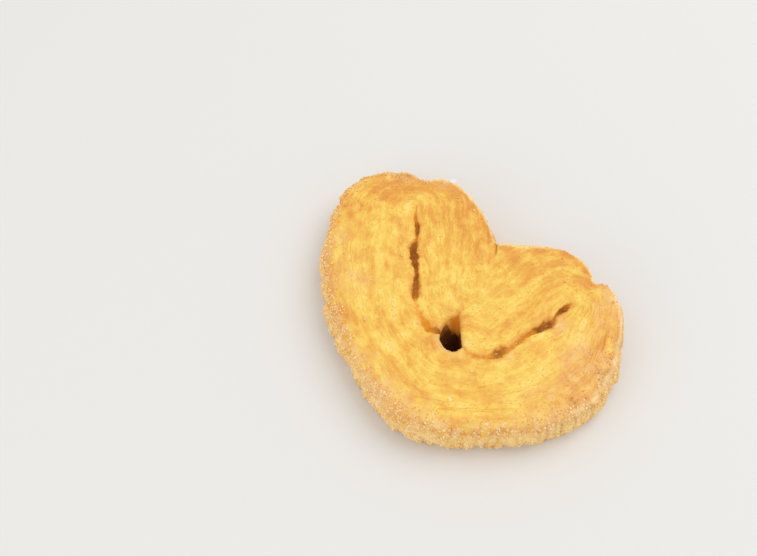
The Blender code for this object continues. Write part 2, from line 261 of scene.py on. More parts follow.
def foldStrip():
    outlineEnd = len(plan["outline"]) - 1.0
    left = makeEar("leftSlit", 0.0, plan["leftNotch"], dough["holeBow"])
    right = makeEar("rightSlit", outlineEnd, plan["rightNotch"], 0.0)
    shares = spread("base")[1:-1]
    baseOutline = curve(plan["outline"], between(plan["baseStart"], plan["baseEnd"], shares))
    base = makeBand(evenCurve(plan["holeBase"], shares), baseOutline, half=dough["slitLip"], outerBand=1.0)
    bands = [left, makeTurn(left, plan["leftNotch"], plan["leftTurn"], False),
             makeFlank(backwards(left), plan["leftTurn"], plan["baseStart"]), base,
             makeFlank(right, plan["baseEnd"], plan["rightTurn"]),
             makeTurn(right, plan["rightTurn"], plan["rightNotch"], True), backwards(right)]
    return {name: np.concatenate([band[name] for band in bands]) for name in left}


columns = foldStrip()
lastColumn = len(columns["half"]) - 1
flankFirst = divisions["slit"] + divisions["turn"]
baseFirst = flankFirst + divisions["slit"]
seamSteps = int(round(divisions["slit"] * plan["seamShare"]))
notches = (seamSteps, lastColumn - seamSteps)
columnNumbers = np.arange(lastColumn + 1)
onRim = (columnNumbers >= notches[0]) & (columnNumbers <= notches[1])


def inwardWays():  # from the outer edge to the inner one, and down the seam at the notch
    ways = columns["inner"] - columns["outer"]
    ways[list(notches)] = np.subtract(plan["seam"][-2], plan["seam"][-1])
    return ways / lengths(ways)[:, None]


inward = inwardWays()


def rowsAcross():  # distances of the rows from the slit, one line for each column
    width = lengths(columns["outer"] - columns["inner"])[:, None]
    squeeze = np.minimum(1.0, width / dough["fullWidth"])
    lip = (columns["half"][:, None] + dough["slitLip"]) * squeeze
    rim = width - dough["rimReach"] * squeeze
    return np.hstack([lip * spread("slitRows")[:-1], between(lip, rim, spread("bandRows")[:-1]),
                      between(rim, width, spread("rimRows") ** dough["rimCrowding"])])


def inPlan(share):  # places at shares of the way across each column
    places = between(columns["inner"][:, None], columns["outer"][:, None], share[..., None])
    places[..., 0] -= columns["bow"][:, None] * 4 * share * (1 - share)
    return places


rows = rowsAcross()
fromRim = rows[:, -1:] - rows
onSeam = ~onRim[:, None] | (columns["seam"][:, None] > 0)
topShares = rows / rows[:, -1:]
topPlan = inPlan(topShares)
lastRow = rows.shape[1] - 1
slitLines = {name: tracedLine(plan[name]) for name in ("leftSlit", "rightSlit")}
outlineLine = tracedLine(plan["outline"])
baseLine = tracedLine(plan["holeBase"])
innerLine = np.concatenate([slitLines["leftSlit"][::-1], baseLine, slitLines["rightSlit"]])
holeEdge = np.concatenate([topPlan[0], topPlan[-1][::-1], baseLine[::-1]])


def roundOutline(amounts):  # a value at each column, from its values along the outline
    place, amount = np.array(amounts).T
    share = nearestOn(outlineLine, columns["outer"])[0] / (len(outlineLine) - 1)
    return np.interp(evenly(plan["outline"], share), place, amount)


sugarAtRim, paleAndHighlightAtRim = roundOutline(sugared), roundOutline(paleRimsAndHighlight)
bareRim = (1 - sugarAtRim)[:, None]


def crag(places):  # how far the side stands out at places in space
    return dough["crag"] * uneven("side", places)


def layerPlaces():  # (along, across) of each top place, as the dough's layers run
    fromSlits, fromOutline = distanceTo(innerLine, topPlan), distanceTo(outlineLine, topPlan)
    fromLeft, fromRight = (distanceTo(slitLines[name], topPlan) for name in ("leftSlit", "rightSlit"))
    ownSlit = np.where((columnNumbers < lastColumn / 2)[:, None], fromLeft, fromRight)
    outer = layers["bandLayers"] * fromSlits / (fromSlits + fromOutline + 1e-6)
    share = columns["outerBand"][:, None]
    return gridOf(lengthAlong(topPlan[:, lastRow // 2]), ownSlit * (1 - share) + outer * share)


layerGrid = layerPlaces()
print("strip folded:", lastColumn, "columns,", lastRow, "rows")


def layerRelief(looseness):
    grid = layerGrid.copy()
    grid[..., 1] += uneven("wander", layerGrid)
    relief = uneven("coarse", grid)
    for height, size, seed in layers["ridges"]:
        relief += height * (ridged(grid, size, seed) - layers["ridgeLevel"])
    relief *= layers["strength"] + uneven("layers", topPlan)
    return relief * (1 - looseness) + uneven("crumble", topPlan) * looseness + uneven("grain", topPlan)


def topHeights():
    half, dark, seam = (columns[name][:, None] for name in ("half", "dark", "seam"))
    fromHole = distanceTo(holeEdge, topPlan)
    flankShare = ((columnNumbers - flankFirst) / divisions["slit"])[:, None]
    onLeftFlank = ramp(flankShare, *dough["valleyRise"]) * ramp(flankShare, *dough["valleyFall"])
    valley = near(np.abs(topShares - dough["valleyPlace"]), dough["valleyWidth"])
    ragged = half * (1 + uneven("slitEdge", topPlan))
    softness, leastSoftness = dough["slitSoft"]
    charred = dark * (1 - smooth((rows - dough["slitCore"] * ragged) / (softness * ragged + leastSoftness)))
    rimDrop = between(dough["rimDrop"], dough["bareDrop"], bareRim)
    rimReach = between(dough["rimReach"], dough["bareReach"], bareRim)
    bareLip = near(np.abs(fromRim - dough["lipPlace"]), dough["lipWidth"]) * bareRim * (1 - seam)
    height = dough["thickness"] + dough["crown"] * np.sin(np.pi * topShares)
    height -= dough["valley"] * onLeftFlank * valley
    height -= (seam * dough["seamDrop"] + (1 - seam) * rimDrop) * rounding(fromRim, rimReach)
    height += dough["bareLip"] * bareLip
    height -= dough["slitDepth"] * charred * (1 + uneven("slitFloor", topPlan))
    height -= dough["holeDrop"] * rounding(fromHole, dough["holeReach"])
    height += dough["swell"] * uneven("top", topPlan)
    looseAtRim = (1 - smooth(fromRim / layers["loose"])) * onSeam
    looseness = np.maximum(1 - smooth(rows / layers["loose"]), looseAtRim)
    return height + layerRelief(looseness), charred, fromHole, looseness


topHeight, charred, fromHole, looseness = topHeights()
topPoints = np.dstack([topPlan, topHeight])
rimPull = smooth((dough["rimPull"] - fromRim) / dough["rimPull"]) * onRim[:, None]
rimOut = crag(topPoints) * (1 - dough["bareCrag"] * bareRim)
rimOut -= dough["barePull"] * ramp(bareRim, *dough["bareFrom"])
topPoints[..., :2] -= inward[:, None, :] * (rimOut * rimPull)[..., None]


def holeFoot(places):  # where the hole's wall meets the table, in plan
    way = np.array(dough["leanWay"])
    across = holeEdge @ way
    share = (places @ way - across.max()) / (across.min() - across.max())
    foot = places + way * (dough["holeLean"] * smooth(share))[..., None]
    foot[..., 1] = np.minimum(foot[..., 1], dough["holeLedge"])
    return foot


def underSurface():
    shares = np.broadcast_to(spread("underRows"), (lastColumn + 1, divisions["underRows"] + 1))
    places = inPlan(shares)
    width = rows[:, -1:]
    distance = shares * width
    isBase = (columnNumbers >= baseFirst) & (columnNumbers <= baseFirst + divisions["base"])
    opened = smooth(columns["half"] / dough["openSlit"]) * ~isBase
    slit = dough["underSlit"] * opened[:, None] * (1 - smooth(distance / dough["underReach"]))
    dents = dough["dent"] * np.maximum(uneven("dents", places), 0)
    edges = smooth(distance / dough["dentsFromSlit"]) * smooth((width - distance) / dough["dentsFromRim"])
    height = slit + dents * edges
    foot = crag(np.column_stack([columns["outer"], np.zeros(lastColumn + 1)]))
    teeth = np.abs(uneven("teeth", columns["outer"]))
    fromNotch = np.minimum(columnNumbers - notches[0], notches[1] - columnNumbers)
    inset = dough["footInset"] - dough["footCrag"] * foot - teeth
    inset = inset * smooth(fromNotch / dough["notchColumns"])
    places += inward[:, None, :] * (inset[:, None] * shares ** dough["insetCrowding"])[..., None]
    for end in (0, lastColumn):
        places[end] = holeFoot(places[end])
        height[end] = 0
    places[isBase, 0] = holeFoot(places[isBase, 0])
    return np.dstack([places, height])


underPoints = underSurface()
for points in (topPoints, underPoints):  # the outer side's two ends meet at the notch
    points[list(notches), -1] = points[list(notches), -1].mean(axis=0)


def wallSurface():  # the outer side, from the rim (ring 0) to the foot
    share = spread("wallRings")
    bulge = np.sin(np.pi * share)
    ring = between(topPoints[onRim, -1:], underPoints[onRim, -1:], share[:, None])
    upright = dough["footInset"] * (share - 1 + np.sqrt(1 - share ** 3))
    cragged = np.sqrt(bulge) * crag(ring) * (dough["wallCrag"] - dough["bareWallCrag"] * bareRim[onRim])
    out = dough["sideBulge"] * bulge + upright + cragged
    ring[..., :2] -= inward[onRim][:, None, :] * out[..., None]
    return ring


wallPoints = wallSurface()


def holeWall(edge, feet):  # from an edge's points down to the foot
    share = spread("holeRings")
    base = np.column_stack([holeFoot(edge[:, :2]), np.zeros(len(edge))])
    ring = between(edge[:, None], base[:, None], share[:, None])
    towardsLedge = np.minimum(share / dough["ledgeDepth"], 1) ** dough["ledgeCurve"]
    ledge = between(holeEdge[:, 1].max(), dough["holeLedge"], towardsLedge)
    ring[..., 1] = np.minimum(ring[..., 1], ledge + uneven("ledge", ring) * (share > 0))
    out = ring[..., :2] - holeEdge.mean(axis=0)
    out = out / lengths(out)[..., None]
    bumps = uneven("holeWall", ring) * np.sin(np.pi * share)
    ring[..., :2] += out * bumps[..., None]
    ring[:, -1] = feet
    return ring


def nearestUnder(count):  # rows of the underside that stand below a column's rows of the top
    return np.rint(np.arange(count) / (count - 1) * divisions["underRows"]).astype(int)


# The surface's marks: how dark it is baked, with painted shade and highlight mixed in at places, how much
# sugar film and how many grains lie there.
toasting = {
    "base": 0.29, "uneven": 0.03, "slit": 0.1, "halo": 0.13, "haloReach": 1.5, "hole": 0.06,
    "holeReach": 2.5, "rim": 0.21, "sugaredRim": 0.15, "rimReach": 6,
    # the far rims' pale edge is partly the dough's own paler edge and partly painted highlight of the back
    # light
    "paleEdgeAndHighlight": 0.12, "paleWidth": 1.1, "paleFade": 0.9, "paleLeast": 0.3, "paleRise": 0.7,
    "cake": 0.65, "cakeReach": 3, "cakeFrom": (-0.02, 0.25), "cakeFall": (0.35, 0.4),
    "wall": 0.23, "bareWall": 0.17, "wallUneven": 0.15, "wallTopMost": 0.4, "wallFade": 0.3,
    # the wall's foot: browner baking together with painted shade where the wall meets the table
    "wallPaleFade": 0.25, "bareShare": 0.6, "footBrowningAndShade": 0.28, "footRise": (0.55, 0.3),
    "footLoss": 0.8, "footFall": (0.88, 0.1), "tips": (0.8, 0.1), "tipPale": 0.8,
    # the hole's wall: a light caramel ledge, partly painted light, above painted shade deeper down
    "ledge": 0.28, "ledgeStart": 0.05, "ledgeRise": (0.45, 0.4), "ledgeShare": 0.25,
    "ledgeSoft": (0.06, 0.2), "holeDeepShade": 0.84,
}
underside = {"toast": 0.5, "frost": 0.1, "sugar": 0.02}
caramel = {"rim": 0.12, "slit": 1.5, "slitFades": (0.9, -0.4), "slitReach": (1.2, 0.1),
           "corner": (0.6, -9.9), "cornerReach": 2.6, "cornerAmount": 0.8, "ledge": 1.5}
frosting = {"rim": 0.08, "rimReach": 6.5, "wall": 0.72, "bareWall": 0.75, "wallLoss": 0.75,
            "wallFall": (0.3, 0.5), "holeLip": 0.65, "lipReach": 2.6, "lipBelow": -7}
bits = {  # where loose bits lie
    "sugarReach": 5.5, "sugarLeast": 0.0015, "sugarOffPale": 0.6, "sugarOnWall": 0.3, "looseWall": 0.7,
    "dustOffRim": 2, "flakyReach": 3, "flakyLeast": 0.08, "flakyOffHole": 1.5,
}
patchForm = {"uneven": 0.8, "unevenSize": 3, "bend": 2.4, "bendSize": 4, "spread": 1.15, "strength": 0.85,
             "toastSeed": 51, "frostSeed": 53}
toastAndShadePatches = [  # x, y, radius, and how much browner (or paler, below 0): partly the baking, partly painted shade and light where the top undulates
    (-41.3, 12.4, 4, 0.12), (-41, 21, 5, 0.2), (-36.5, 27, 5, 0.19), (-25.5, 27.5, 5, 0.07),
    (-17.8, 24, 3.5, 0.04), (-13.5, 28.3, 4, 0.05), (-6.5, 25, 4, 0.08), (-3.3, 17.8, 4.5, 0.04),
    (6, 23, 4, 0.05), (15, 25.5, 5.5, 0.08), (28, 28, 4.5, 0.08), (17, 16.3, 3, 0.02),
    (38.5, 27.5, 4, 0.08), (43, 18.5, 4, 0.22), (45.3, 9, 5, 0.23), (-46.5, 10, 5, 0.18),
    (45.5, -1, 5, 0.16), (43, -8, 5, 0.16), (2.3, -14.5, 3, 0.1), (12.5, -30.5, 5, 0.1),
    (5.6, -26.9, 4, -0.05), (-20.6, -23.5, 4, 0.06), (-33.2, -3.4, 4.5, 0.06), (-19.3, 19.1, 3, 0.08),
    (33.8, 17, 4, -0.07), (19.5, -14.5, 5.5, -0.1), (29.5, -6, 5, -0.05), (-14.8, -8, 5, -0.06),
    (-29.6, 3.9, 4, -0.06), (-24.1, -0.7, 4.5, -0.05), (-4.9, 10, 4, -0.04), (11, 10.5, 5, -0.08),
    (-27.5, -10.5, 5, -0.08), (-14.5, -22, 5.5, -0.05), (21, -21.5, 5, -0.03),
]
frostedPatches = [  # x, y, radius, and how much more sugar film
    (44.5, 6, 6, 0.55), (41.5, -7.5, 6, 0.5), (34.5, -14, 5, 0.25), (3.5, -34, 5, 0.6),
    (-5.7, -33.4, 4, 0.6), (15.5, -35.4, 5, 0.45), (38.5, 12, 6, 0.35), (-46.5, 9.5, 6, -0.2),
    (-39.5, 26.5, 4.5, 0.3), (-33, 32.5, 3.5, 0.3), (-26.5, 35.5, 3.5, 0.45), (-39, -4.3, 5, 0.3),
    (-27.4, -10.7, 4.5, 0.45), (37, 31, 3.5, 0.6), (43, 26.5, 3, 0.4), (28.3, 12.6, 2.2, 0.5),
    (36.5, 22.5, 3.5, 0.35), (22.8, -4.2, 2, 0.45),
]


def patchesOn(places, patches, seed):  # soft patches with ragged edges
    ragged = 1 + patchForm["uneven"] * lumps(places, patchForm["unevenSize"], seed)
    bends = [lumps(places, patchForm["bendSize"], seed + shift) for shift in (0.3, 0.6)]
    bent = places[..., :2] + patchForm["bend"] * np.stack(bends, axis=-1)
    total = np.zeros(places.shape[:-1])
    for x, y, radius, more in patches:
        away = lengths(bent - np.array([x, y])) / (patchForm["spread"] * radius)
        total += patchForm["strength"] * more * np.exp(-away ** 2) * ragged
    return total


def clumped(points):  # how thickly the sugar cakes at places in space
    return ramp(uneven("clumps", points), *toasting["cakeFrom"])


def topMarks():
    sugary, half, dark = (values[:, None] for values in (sugarAtRim, columns["half"], columns["dark"]))

    def nearRim(reach):
        return np.where(onSeam, 0, near(fromRim, reach))

    browned = nearRim(toasting["rimReach"])
    # Paler far rims: partly the dough's own paler edge, partly painted highlight where the back light
    # catches them.
    paleWidth = toasting["paleWidth"] * (1 + uneven("paleWidth", topPlan))
    pale = np.where(onSeam, 0, 1 - ramp(fromRim, paleWidth, toasting["paleFade"])) * paleAndHighlightAtRim[:, None]
    pale = pale * between(toasting["paleLeast"], 1, smooth(fromRim / toasting["paleRise"]))
    toast = toasting["base"] + patchesOn(topPlan, toastAndShadePatches, patchForm["toastSeed"])
    toast += toasting["uneven"] * uneven("toast", topPlan)
    rimToast = toasting["rim"] * (1 - sugary) + toasting["sugaredRim"] * sugary
    toast += rimToast * browned * (1 + uneven("rimToast", topPlan))
    toast -= toasting["paleEdgeAndHighlight"] * pale
    toast += toasting["slit"] * charred + toasting["halo"] * dark * near(rows - half, toasting["haloReach"])
    toast += toasting["hole"] * near(fromHole, toasting["holeReach"])
    reach, margin = caramel["slitReach"]
    faint = dark * ramp(dark, *caramel["slitFades"]) * smooth(reach - rows / (half + margin))
    fromCorner = lengths(topPlan - np.array(caramel["corner"])) / caramel["cornerReach"]
    caramelled = np.clip(caramel["slit"] * faint + caramel["cornerAmount"] * np.exp(-fromCorner ** 2), 0, 1)
    caramelled += caramel["rim"] * browned * (1 - sugary) * (1 - pale)
    lip = near(fromHole, frosting["lipReach"]) * (topPlan[..., 1] < frosting["lipBelow"])
    frost = frosting["rim"] * nearRim(frosting["rimReach"]) * sugary + frosting["holeLip"] * lip
    frost = (frost + patchesOn(topPlan, frostedPatches, patchForm["frostSeed"])) * (1 - charred)
    sugar = sugary * (bits["sugarLeast"] + nearRim(bits["sugarReach"]) ** 2)
    sugar = sugar * (1 - bits["sugarOffPale"] * pale) * (1 - charred)
    flaky = (bits["flakyLeast"] + near(rows, bits["flakyReach"])) * (1 - pale) * (1 - charred)
    caked = pale + toasting["cake"] * sugary * nearRim(toasting["cakeReach"]) * clumped(topPoints)
    offRim = 1 - smooth(nearRim(bits["dustOffRim"]) * 2)
    return {"toast": toast, "frost": frost, "sugar": sugar, "char": charred, "caramel": caramelled,
            "pale": caked, "dust": (1 - charred) * offRim, "loose": looseness,
            "flaky": flaky * (fromHole > bits["flakyOffHole"])}


marks = topMarks()
print("top marked")


markNames = ("toast", "frost", "sugar", "char", "caramel", "pale", "dust", "loose", "flaky", "tips")
stripStarts = {"under": 40, "wall": 60, "hole": 80}  # each surface has its own part of the streaks
streakScale = 0.1  # of the UV map to a millimetre of the strip


def meshFrom(shape, name):
    mesh = bpy.data.meshes.new(name)
    shape.to_mesh(mesh)
    shape.free()
    return mesh


def addObject(name, data):
    made = bpy.data.objects.new(name, data)
    bpy.context.scene.collection.objects.link(made)
    return made


def placesOf(mesh):  # a row for each corner of the mesh
    places = np.empty(len(mesh.vertices) * 3)
    mesh.vertices.foreach_get("co", places)
    return places.reshape(-1, 3)


def valuesOf(mesh, name):
    values = np.empty(len(mesh.vertices), np.float32)
    mesh.attributes[name].data.foreach_get("value", values)
    return values


def addValues(mesh, name, values):
    made = mesh.attributes.new(name, "FLOAT", "POINT")
    made.data.foreach_set("value", values.astype(np.float32))


def sheetOf(points, strip, marks):  # a grid of faces with its corners at the points
    count = np.array(points.shape[:2]) - 1
    grid = bmesh.new()
    bmesh.ops.create_grid(grid, x_segments=int(count[0]), y_segments=int(count[1]), size=1)
    mesh = meshFrom(grid, "sheet")
    column, row = np.rint((placesOf(mesh)[:, :2] + 1) / 2 * count).astype(int).T
    mesh.vertices.foreach_set("co", (points[column, row] * mm).ravel())
    for name in markNames:
        full = np.zeros(points.shape[:2]) + marks.get(name, 0.0)
        addValues(mesh, name, full[column, row])
    corners = np.empty(len(mesh.loops), np.int32)
    mesh.loops.foreach_get("vertex_index", corners)
    places = (strip[column, row] * streakScale)[corners]
    mesh.uv_layers.new(name="strip").data.foreach_set("uv", places.ravel())
    return mesh


def stripBelow(points, along, surface):  # (along, down) of a wall, for its streaks
    return gridOf(along, stripStarts[surface] + np.linspace(0, dough["thickness"], points.shape[1]))


def holeMarks(towardsSeam):  # painted shade: the hole's wall goes near black deeper down, below a caramelled ledge that widens towards the seam and whose light caramel partly paints the light on the upper wall
    ledge = between(toasting["ledgeStart"], 1, ramp(towardsSeam, *toasting["ledgeRise"]))[:, None]
    least, more = toasting["ledgeSoft"]
    deepShade = ramp(spread("holeRings"), toasting["ledgeShare"] * ledge, least + more * ledge)
    toast = between(toasting["ledge"], toasting["holeDeepShade"], deepShade)
    toast[:, -1] = underside["toast"]
    return {"toast": toast, "caramel": caramel["ledge"] * (1 - deepShade) * ledge}


def wallMarks():  # the outer side's marks start as the top's at the rim
    down = spread("wallRings")
    none = 0 * down
    fade = smooth(down / toasting["wallFade"])
    sugary = sugarAtRim[onRim][:, None]
    rimToast, rimFrost, rimPale = (marks[name][onRim, -1][:, None] for name in ("toast", "frost", "pale"))
    sugarShare = between(toasting["bareShare"], 1, sugary)
    footShare = sugarShare - toasting["footLoss"] * sugary * ramp(down, *toasting["footFall"])
    toast = toasting["wall"] + toasting["bareWall"] * (1 - sugary)
    # darker towards the foot: partly browner baking, partly painted shade where the wall meets the table
    toast = toast + toasting["footBrowningAndShade"] * ramp(down, *toasting["footRise"]) * footShare
    toast = toast + toasting["wallUneven"] * sugarShare * uneven("wallToast", wallPoints)
    toast = np.minimum(rimToast, toasting["wallTopMost"]) * (1 - fade) + fade * toast
    film = frosting["wall"] * between(frosting["bareWall"], 1, sugary)
    film = film + patchesOn(wallPoints, frostedPatches, patchForm["frostSeed"])
    frost = fade * (1 - frosting["wallLoss"] * ramp(down, *frosting["wallFall"])) * film
    tips = sugary * ramp(down, *toasting["tips"])
    # the rim's pale edge, partly painted highlight, reaches a little way down the wall's top
    pale = rimPale * (1 - sugary) * near(down, toasting["wallPaleFade"])
    pale = pale + tips * (toasting["tipPale"] + uneven("tips", wallPoints))
    pale = pale + toasting["cake"] * sugary * clumped(wallPoints) * (1 - ramp(down, *toasting["cakeFall"]))
    return {"toast": toast, "frost": rimFrost * (1 - fade) + frost, "tips": tips,
            "pale": np.clip(pale, 0, 1), "sugar": np.maximum(sugary, bits["sugarOnWall"]) + none,
            "loose": between(bits["looseWall"], 1, sugary) + none}


def underMarks(foot):  # the underside's edge is marked as the wall's foot is
    made = {}
    for name, values in foot.items():
        made[name] = np.zeros(underPoints.shape[:2]) + underside.get(name, 0.0)
        made[name][onRim, -1] = values[:, -1]
    return made


def makePastry():
    along = layerGrid[:, 0, 0]
    underAcross = stripStarts["under"] + layers["bandLayers"] * spread("underRows")
    side = wallMarks()
    meshes = [sheetOf(topPoints, layerGrid, marks),
              sheetOf(underPoints, gridOf(along, underAcross), underMarks(side)),
              sheetOf(wallPoints, stripBelow(wallPoints, along[onRim], "wall"), side)]
    baseHere = slice(baseFirst, baseFirst + divisions["base"] + 1)
    feet = nearestUnder(lastRow + 1)
    holeSides = [(topPoints[end], underPoints[end, feet], rows[end], rows[end] / rows[end, -1])
                 for end in (0, lastColumn)]
    baseSide = (topPoints[baseHere, 0], underPoints[baseHere, 0], along[baseHere], 0 * along[baseHere])
    for edge, foot, places, towardsSeam in holeSides + [baseSide]:
        wall = holeWall(edge, foot)
        meshes.append(sheetOf(wall, stripBelow(wall, places, "hole"), holeMarks(towardsSeam)))
    whole = bmesh.new()
    for mesh in meshes:
        whole.from_mesh(mesh)
        bpy.data.meshes.remove(mesh)
    bmesh.ops.remove_doubles(whole, verts=whole.verts, dist=2e-6)
    bmesh.ops.recalc_face_normals(whole, faces=whole.faces)
    return meshFrom(whole, "pastry")


def fitToFrame(mesh):  # centres the pastry in the CAD solid's box, at its width
    low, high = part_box("palmier")
    places = placesOf(mesh)
    middle = (places.min(0) + places.max(0)) / 2
    target = np.array((low + high) / 2)
    size = (high.x - low.x) / (places[:, 0].max() - places[:, 0].min())
    move = np.array([target[0] - middle[0] * size, target[1] - middle[1] * size, 0])
    places = places * np.array([size, size, 1]) + move
    mesh.vertices.foreach_set("co", places.ravel())
    return size, move


pastryMesh = makePastry()
fitSize, fitMove = fitToFrame(pastryMesh)
pastryMesh.shade_smooth()
pastry = addObject("pastry", pastryMesh)
print("pastry:", len(pastryMesh.polygons), "faces, fitted by", round(fitSize, 4), (fitMove / mm).round(2))


# Sugar grains: small uneven crystals, pressed into the crust. The dust is finer and as baked as the crust.
grains = {
    "sugar-grains": {"where": "sugar", "count": 5600, "size": (0.24, 0.60), "sink": 0.48, "seed": 11},
    "dust": {"where": "dust", "count": 4200, "size": (0.16, 0.30), "sink": 0.5, "seed": 12},
    "crumbs": {"where": "flaky", "count": 50, "size": (0.22, 0.5), "sink": 0.35, "seed": 13},
    "foot-crystals": {"where": "tips", "count": 200, "size": (0.35, 0.75), "sink": 0.4, "seed": 16},
}
crystals = {"kinds": 6, "cut": 0.16, "stretch": (0.7, 1.25), "tipTone": 0.2, "toneSpread": 0.16,
            "toneMiddle": 0.6}


def surfaceSamples(mesh, where, count, seed):  # random spots, as dense as the mark says
    mesh.calc_loop_triangles()
    corners = np.empty(len(mesh.loop_triangles) * 3, np.int32)
    mesh.loop_triangles.foreach_get("vertices", corners)
    corners = corners.reshape(-1, 3)
    places = placesOf(mesh)
    a, b, c = (places[column] for column in corners.T)
    weight, toast = (valuesOf(mesh, name)[corners].mean(axis=1) for name in (where, "toast"))
    normal = np.cross(b - a, c - a)
    area = lengths(normal)
    draw = np.random.default_rng(seed)
    chance = area * weight
    chosen = draw.choice(len(corners), count, p=chance / chance.sum())
    u, v = draw.random((2, count))
    turned = u + v > 1
    u[turned], v[turned] = 1 - u[turned], 1 - v[turned]
    spots = a[chosen] + u[:, None] * (b - a)[chosen] + v[:, None] * (c - a)[chosen]
    return spots, normal[chosen] / area[chosen][:, None], toast[chosen], draw


def crystalShapes(draw):  # cubes with their corners moved
    shapes = []
    for _ in range(crystals["kinds"]):
        crystal = bmesh.new()
        bmesh.ops.create_cube(crystal, size=1)
        for corner in crystal.verts:
            corner.co += Vector(draw.uniform(-crystals["cut"], crystals["cut"], 3))
        bmesh.ops.triangulate(crystal, faces=crystal.faces)
        bmesh.ops.recalc_face_normals(crystal, faces=crystal.faces)
        crystal.verts.ensure_lookup_table()
        shapes.append((np.array([corner.co for corner in crystal.verts]),
                       np.array([[corner.index for corner in face.verts] for face in crystal.faces])))
        crystal.free()
    return shapes


def randomTurns(draw, count):  # rotation matrices, evenly spread
    turn = draw.normal(size=(count, 4))
    w, x, y, z = (turn / lengths(turn)[:, None]).T
    rows = [1 - 2 * (y * y + z * z), 2 * (x * y - z * w), 2 * (x * z + y * w),
            2 * (x * y + z * w), 1 - 2 * (x * x + z * z), 2 * (y * z - x * w),
            2 * (x * z - y * w), 2 * (y * z + x * w), 1 - 2 * (x * x + y * y)]
    return np.stack(rows, axis=1).reshape(-1, 3, 3)


def joined(name, parts, tones):  # many small shapes as one mesh: parts are (corners, faces)
    counts = [len(corners) for corners, faces in parts]
    starts = np.cumsum([0] + counts[:-1])
    corners = np.concatenate([corners for corners, faces in parts])
    faces = np.concatenate([faces + start for (_, faces), start in zip(parts, starts)])
    mesh = bpy.data.meshes.new(name)
    mesh.from_pydata(corners.tolist(), [], faces.tolist())
    addValues(mesh, "tone", np.repeat(tones, counts))
    mesh.update()
    return addObject(name, mesh)


def makeGrains(name):
    settings = grains[name]
    where, small, large = settings["where"], *settings["size"]
    spots, normals, toast, draw = surfaceSamples(pastryMesh, where, settings["count"], settings["seed"])
    shapes = crystalShapes(draw)
    sizes = between(small, large, draw.random(len(spots)) ** 2)
    stretch = draw.uniform(*crystals["stretch"], (len(spots), 3))
    turns = randomTurns(draw, len(spots))
    parts = []
    for spot, normal, size, stretched, turn in zip(spots, normals, sizes, stretch, turns):
        corners, faces = shapes[len(parts) % len(shapes)]
        place = spot + normal * size * mm * (0.5 - settings["sink"])
        corners = (corners * stretched * size * mm) @ turn.T + place
        corners[:, 2] -= min(corners[:, 2].min(), 0)  # nothing reaches below the table
        parts.append((corners, faces))
    tones = draw.random(len(parts))
    bakedTones = toast + crystals["toneSpread"] * (tones - crystals["toneMiddle"])
    return joined(name, parts, {"sugar": tones, "tips": crystals["tipTone"] * tones}.get(where, bakedTones))


sugarGrains, dust, crumbs, footCrystals = (makeGrains(name) for name in grains)
print("grains:", [len(piece.data.polygons) for piece in (sugarGrains, dust, crumbs, footCrystals)], "faces")


# Layer crests: thin edges of single layers that stand up along the strip.
crests = {
    "count": 700, "columns": (8, 26), "height": (0.04, 0.15), "width": 0.32, "lean": 0.8, "sunk": 0.12,
    "swell": 0.6, "endWidth": 0.35, "tipSunk": 0.04, "drift": 0.25, "shortest": 1.5, "widestStep": 1.2,
    "evenStep": 0.5, "tone": (-0.09, 0.05), "seed": 14, "firstRow": 12, "rimRows": 10,
}


def fitted(points):  # strip points in millimetres, moved and sized as the pastry was
    return points * mm * np.array([fitSize, fitSize, 1]) + fitMove


def crestShape(line, across, height, lean):  # a ridge of triangular section that fades at its ends
    share = np.linspace(0, 1, len(line))[:, None]
    swell = np.sin(np.pi * share) ** crests["swell"]
    half = 0.5 * crests["width"] * between(crests["endWidth"], 1, swell)
    sunk = np.array([0, 0, crests["sunk"]])
    left, right = line - across * half - sunk, line + across * half - sunk
    tip = line + across * lean * height * swell + np.array([0, 0, 1]) * (height * swell - crests["tipSunk"])
    corners = np.stack([left, tip, right], axis=1).reshape(-1, 3)
    faces = [(0, 1, 2), (3 * len(line) - 1, 3 * len(line) - 2, 3 * len(line) - 3)]
    for ring in range(0, 3 * len(line) - 3, 3):
        for side in range(3):
            a, b = ring + side, ring + (side + 1) % 3
            faces += [(a, a + 3, b), (b, a + 3, b + 3)]
    return corners, np.array(faces)


def makeCrests():
    draw = np.random.default_rng(crests["seed"])
    parts, tones = [], []
    while len(parts) < crests["count"]:
        count = draw.integers(*crests["columns"])
        first = draw.integers(0, lastColumn - count)
        row = draw.integers(crests["firstRow"], lastRow - crests["rimRows"])
        drift = np.cumsum(draw.normal(0, crests["drift"], count + 1))
        chosen = np.clip(np.rint(row + drift).astype(int), 0, lastRow)
        line = topPoints[np.arange(first, first + count + 1), chosen]
        step = lengths(np.diff(line[:, :2], axis=0))
        if step.sum() < crests["shortest"] or step.max() > crests["widestStep"]:
            continue
        if draw.random() > step.mean() / crests["evenStep"]:
            continue
        tangent = np.gradient(line[:, :2], axis=0)
        tangent /= lengths(tangent)[:, None] + 1e-9
        across = np.column_stack([-tangent[:, 1], tangent[:, 0], 0 * tangent[:, 0]])
        height, lean = draw.uniform(*crests["height"]), draw.uniform(-1, 1) * crests["lean"]
        corners, faces = crestShape(line, across, height, lean)
        parts.append((fitted(corners), faces))
        toast = marks["toast"][first + count // 2, chosen[count // 2]]
        tones.append(toast + draw.uniform(*crests["tone"]))
    return joined("layer-crests", parts, tones)


layerCrests = makeCrests()
print("layer crests:", len(layerCrests.data.polygons), "faces")


